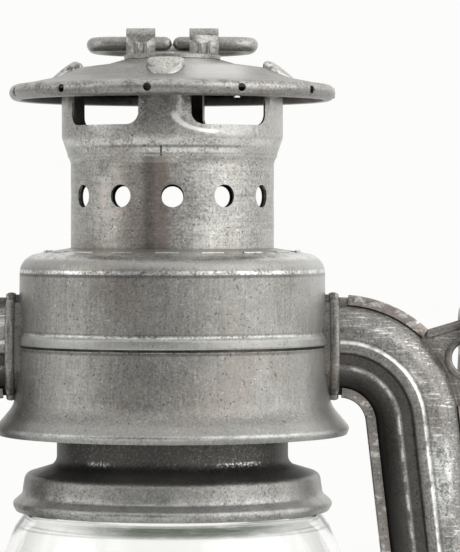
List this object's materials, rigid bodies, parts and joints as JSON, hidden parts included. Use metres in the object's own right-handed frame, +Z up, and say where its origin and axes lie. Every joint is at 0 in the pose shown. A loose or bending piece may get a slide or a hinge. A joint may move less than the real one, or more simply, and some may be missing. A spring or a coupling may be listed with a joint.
{
  "type": "hurricane lantern",
  "caption": "Tubular hurricane lantern: round oil tank, side air tubes, glass globe, sprung chimney under a brimmed hood, lift ring and bail.",
  "frame": {"origin": "middle of the tank's foot rim, in the plane that the lantern stands on", "axes": "+Z up along the chimney's axis, air tubes towards +X and -X, front with the wick knob towards -Y"},
  "size_m": [0.1484, 0.128, 0.2651],
  "materials": {
    "zinc_sheet": "worn galvanised sheet, mottled",
    "dull_sheet": "dull galvanised sheet",
    "wire": "worn drawn wire",
    "brass": "tarnished",
    "glass": "clear blown glass",
    "wick": "woven flat cotton",
    "seal": "matt"
  },
  "bodies": {
    "frame": {"tank_floor": "dull_sheet", "tank_shell": "zinc_sheet", "filler_neck": "dull_sheet", "air_chamber": "zinc_sheet", "chamber_cover": "dull_sheet", "burner_base": "brass", "wick_tube": "brass", "burner_cone": "brass", "shaft_bush": "brass", "shaft_bracket": "brass", "tube_right_front": "zinc_sheet", "tube_right_back": "zinc_sheet", "tube_left_front": "zinc_sheet", "tube_left_back": "zinc_sheet", "seam_strips": "zinc_sheet", "tube_sockets": "zinc_sheet", "ear_eyelets": "dull_sheet", "drum_shell": "zinc_sheet", "drum_floor": "dull_sheet", "lever_bracket": "dull_sheet", "lever_pin": "brass", "chimney_spring": "dull_sheet"},
    "carrier": {"globe_plate": "zinc_sheet", "guard_wire_low_left": "wire", "guard_wire_low_right": "wire", "guard_legs": "wire", "globe": "glass"},
    "chimney": {"globe_cap": "zinc_sheet", "chimney_tube": "zinc_sheet", "chimney_collar": "zinc_sheet", "hood": "zinc_sheet", "ring_strap": "zinc_sheet"},
    "lift_ring": {"lift_ring": "wire"},
    "bail": {"bail": "wire"},
    "lever": {"globe_lever": "zinc_sheet"},
    "wick_drive": {"wick_shaft": "dull_sheet", "wick_wheels": "brass", "wick_knob": "brass"},
    "wick": {"wick": "wick"},
    "cap_seal": {"cap_seal": "seal"},
    "filler_cap": {"filler_cap": "brass"}
  },
  "joints": [
    {"name": "globe_lift", "type": "slide", "parent": "frame", "child": "carrier", "axis": [0, 0, 1], "range_m": [0, 0.006]},
    {"name": "lever_turn", "type": "hinge", "parent": "frame", "child": "lever", "pos_m": [-0.04206, 0.015, 0.06988], "axis": [0, -1, 0], "range_deg": [0, 21.66]},
    {"name": "chimney_lift", "type": "slide", "parent": "carrier", "child": "chimney", "axis": [0, 0, 1], "range_m": [0, 0.007], "stiffness_N_per_m": 100, "springref_m": -0.02, "deforming": ["chimney_spring"]},
    {"name": "ring_swing", "type": "hinge", "parent": "chimney", "child": "lift_ring", "pos_m": [0, 0, 0.2619], "axis": [1, 0, 0], "range_deg": [0, 180]},
    {"name": "bail_swing", "type": "hinge", "parent": "frame", "child": "bail", "pos_m": [0, 0, 0.2023], "axis": [1, 0, 0], "range_deg": [0, 302]},
    {"name": "wick_turn", "type": "hinge", "parent": "frame", "child": "wick_drive", "pos_m": [-0.00411, -0.0049, 0.057], "axis": [0.766, -0.6428, 0], "range_deg": [-90, 60]},
    {"name": "wick_rise", "type": "slide", "parent": "frame", "child": "wick", "axis": [0, 0, 1], "range_m": [-0.00785, 0.00523]},
    {"name": "cap_rise", "type": "slide", "parent": "frame", "child": "cap_seal", "axis": [0, 0, 1], "range_m": [0, 0.005]},
    {"name": "cap_turn", "type": "hinge", "parent": "cap_seal", "child": "filler_cap", "pos_m": [-0.02967, -0.03181, 0.053], "axis": [0, 0, 1], "range_deg": [0, 720.2]}
  ],
  "couplings": [
    {"joint": "lever_turn", "follows": "globe_lift", "rad_per_m": 62.949},
    {"joint": "wick_turn", "follows": "wick_rise", "rad_per_m": 200},
    {"joint": "cap_turn", "follows": "cap_rise", "rad_per_m": 2513.3}
  ]
}
